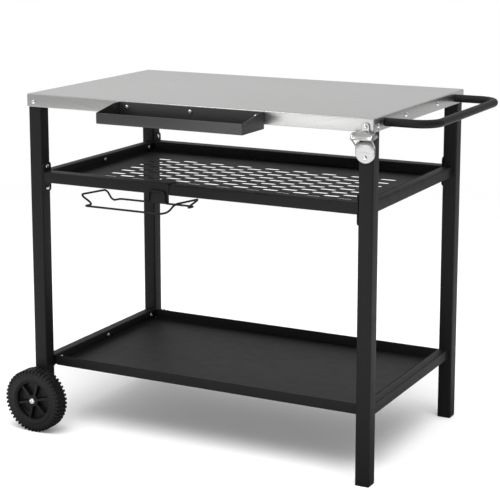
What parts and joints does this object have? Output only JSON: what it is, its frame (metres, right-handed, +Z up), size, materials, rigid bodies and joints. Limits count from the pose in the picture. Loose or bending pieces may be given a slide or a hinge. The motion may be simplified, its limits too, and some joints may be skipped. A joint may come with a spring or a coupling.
{
  "type": "grill cart",
  "caption": "Outdoor grill cart: stainless worktop on black square legs, slotted shelf, tray shelf, seasoning tray, end handle, bottle opener, bag holder and wheels.",
  "frame": {"origin": "bottom middle of the whole cart's box, on the floor", "axes": "+X along the worktop towards the handle, +Y from the front to the rear, +Z up"},
  "size_m": [1.0364, 0.7264, 0.8],
  "materials": {
    "stainless": "brushed satin",
    "galvanised": "dull",
    "zinc": "bright zinc plate",
    "cast_steel": "satin nickel plate",
    "black_coat": "satin powder coat",
    "black_plastic": "moulded",
    "rubber": "matte",
    "nylon": "moulded"
  },
  "bodies": {
    "cart": {"apron_screw_front_left": "zinc", "apron_screw_rear_left": "zinc", "apron_screw_rear_right": "zinc", "bottle_opener": "cast_steel", "bottom_left_rail": "black_coat", "bottom_right_rail": "black_coat", "bottom_shelf": "black_coat", "end_apron_screw_front_left": "zinc", "end_apron_screw_front_right": "zinc", "end_apron_screw_rear_left": "zinc", "end_apron_screw_rear_right": "zinc", "frame_screw_front_left_high": "zinc", "frame_screw_front_left_low": "zinc", "frame_screw_front_right_high": "zinc", "frame_screw_front_right_low": "zinc", "frame_screw_rear_left_high": "zinc", "frame_screw_rear_left_low": "zinc", "frame_screw_rear_right_high": "zinc", "frame_screw_rear_right_low": "zinc", "front_axle_bolt": "zinc", "front_axle_nut": "zinc", "front_axle_washer": "zinc", "front_left_leg": "black_coat", "front_left_leg_cap": "black_plastic", "front_right_foot": "black_plastic", "front_right_leg": "black_coat", "handle": "black_coat", "handle_bolt_front": "zinc", "handle_bolt_rear": "zinc", "middle_front_rail": "black_coat", "middle_left_rail": "black_coat", "middle_rear_rail": "black_coat", "middle_right_rail": "black_coat", "middle_shelf": "black_coat", "opener_screw_low": "zinc", "opener_screw_top": "zinc", "rear_axle_bolt": "zinc", "rear_axle_nut": "zinc", "rear_axle_washer": "zinc", "rear_left_leg": "black_coat", "rear_left_leg_cap": "black_plastic", "rear_right_foot": "black_plastic", "rear_right_leg": "black_coat", "seasoning_tray": "black_coat", "tabletop": "stainless", "top_left_rail": "black_coat", "top_right_rail": "black_coat", "top_stiffener": "galvanised", "tray_screw_left": "zinc", "tray_screw_middle": "zinc", "tray_screw_right": "zinc"},
    "front_wheel": {"front_bush": "nylon", "front_rim": "black_plastic", "front_tyre": "rubber"},
    "rear_wheel": {"rear_bush": "nylon", "rear_rim": "black_plastic", "rear_tyre": "rubber"},
    "bag_holder": {"bag_holder_hook": "black_coat", "bag_holder_wire": "black_coat"}
  },
  "joints": [
    {"name": "front_wheel_spin", "type": "hinge", "parent": "cart", "child": "front_wheel", "pos_m": [-0.44327, -0.23577, 0.075], "axis": [0, 1, 0], "continuous": true},
    {"name": "rear_wheel_spin", "type": "hinge", "parent": "cart", "child": "rear_wheel", "pos_m": [-0.44327, 0.34243, 0.075], "axis": [0, 1, 0], "continuous": true},
    {"name": "bag_holder_lift", "type": "slide", "parent": "cart", "child": "bag_holder", "axis": [0, 0, 1], "range_m": [0, 0.05]}
  ]
}
